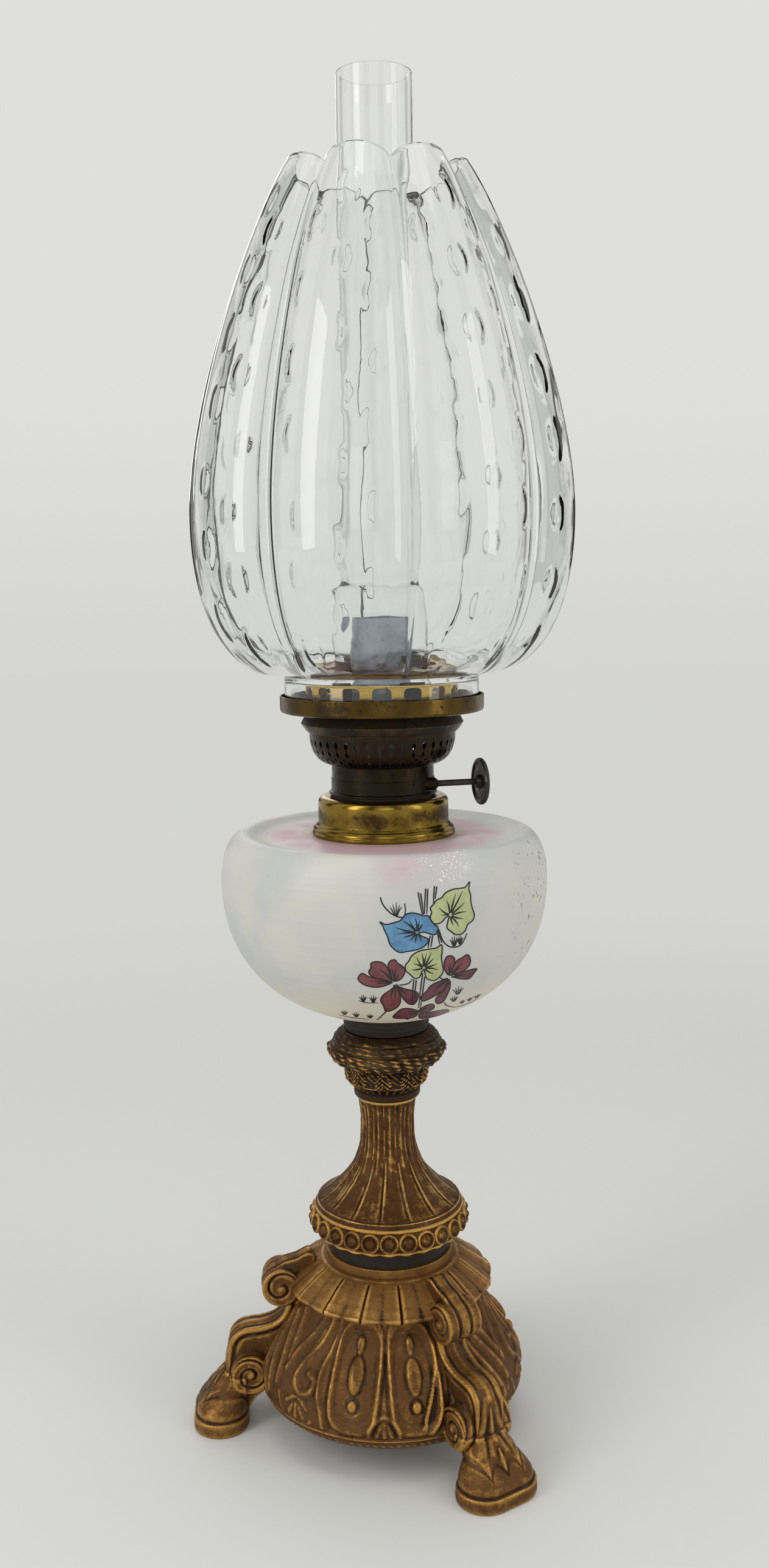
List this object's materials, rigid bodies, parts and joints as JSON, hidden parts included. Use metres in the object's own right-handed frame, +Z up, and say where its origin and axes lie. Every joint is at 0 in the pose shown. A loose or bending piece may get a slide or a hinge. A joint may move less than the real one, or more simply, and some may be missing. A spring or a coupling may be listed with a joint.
{
  "type": "kerosene table lamp",
  "caption": "Kerosene table lamp: cast base on scroll legs, fluted column, frosted glass font, round-wick burner with thumbwheel, clear lobed glass shade and chimney.",
  "frame": {"origin": "on the lamp's axis, in the plane that the hoofs stand on", "axes": "+Z up along the lamp's axis, -Y towards the viewer of the picture, +X to the viewer's right, where the thumbwheel points"},
  "size_m": [0.2037, 0.1972, 0.6906],
  "materials": {
    "base_casting": "bronzed casting, worn to gold on its edges",
    "black_collar": "blackened, dull",
    "column_casting": "aged brass with dark recesses",
    "capital_casting": "bronzed casting, dark in its recesses",
    "steel": "plain steel",
    "socket_metal": "dark oxidised sheet",
    "plaster": "plaster of Paris",
    "font_glass": "frosted white glass with a flower transfer",
    "collar_brass": "bright yellow brass, lightly soiled",
    "gasket": "oil-dark leather ring",
    "burner_brass": "dark oxidised brass",
    "tube_metal": "bluish grey tinned tube",
    "wick_cotton": "woven cotton",
    "dark_brass": "blackened brass",
    "ring_brass": "mottled brass with a bright lower edge",
    "crown_brass": "yellow brass",
    "clear_glass": "clear pressed and blown glass"
  },
  "bodies": {
    "root": {"tripod_base": "base_casting", "base_collar": "black_collar", "fluted_column": "column_casting", "capital_cup": "capital_casting", "tie_rod": "steel", "tie_washer": "steel", "tie_nut": "steel", "font_socket": "socket_metal", "socket_plaster": "plaster", "glass_font": "font_glass", "collar_plaster": "plaster", "font_collar": "collar_brass"},
    "gasket": {"burner_gasket": "gasket"},
    "burner": {"burner_base": "burner_brass", "shaft_gland": "burner_brass", "shaft_bracket": "burner_brass", "burner_basket": "burner_brass", "burner_deck": "burner_brass", "chimney_holder": "burner_brass", "wick_tube": "tube_metal", "draught_tube": "tube_metal"},
    "knob": {"wick_shaft": "dark_brass", "cog_wheels": "burner_brass", "thumbwheel": "dark_brass"},
    "wick": {"wick": "wick_cotton"},
    "shade_holder": {"shade_ring": "ring_brass", "air_crown": "crown_brass"},
    "shade": {"shade": "clear_glass"},
    "chimney": {"chimney": "clear_glass"}
  },
  "joints": [
    {"name": "gasket_lift", "type": "slide", "parent": "root", "child": "gasket", "axis": [0, 0, 1], "range_m": [0, 0.0061]},
    {"name": "burner_turn", "type": "hinge", "parent": "gasket", "child": "burner", "pos_m": [0, 0, 0.3408], "axis": [0, 0, 1], "range_deg": [0, 1080]},
    {"name": "knob_turn", "type": "hinge", "parent": "burner", "child": "knob", "pos_m": [0.00471, -0.01758, 0.3464], "axis": [0.9659, 0.2588, 0], "range_deg": [-140, 170]},
    {"name": "wick_slide", "type": "slide", "parent": "burner", "child": "wick", "axis": [0, 0, 1], "range_m": [-0.01, 0.012]},
    {"name": "holder_lift", "type": "slide", "parent": "burner", "child": "shade_holder", "axis": [0, 0, 1], "range_m": [0, 0.03]},
    {"name": "shade_lift", "type": "slide", "parent": "shade_holder", "child": "shade", "axis": [0, 0, 1], "range_m": [0, 0.02]},
    {"name": "chimney_lift", "type": "slide", "parent": "burner", "child": "chimney", "axis": [0, 0, 1], "range_m": [0, 0.04]}
  ],
  "couplings": [
    {"joint": "gasket_lift", "follows": "burner_turn", "m_per_rad": 0.00031831},
    {"joint": "wick_slide", "follows": "knob_turn", "m_per_rad": 0.004}
  ]
}
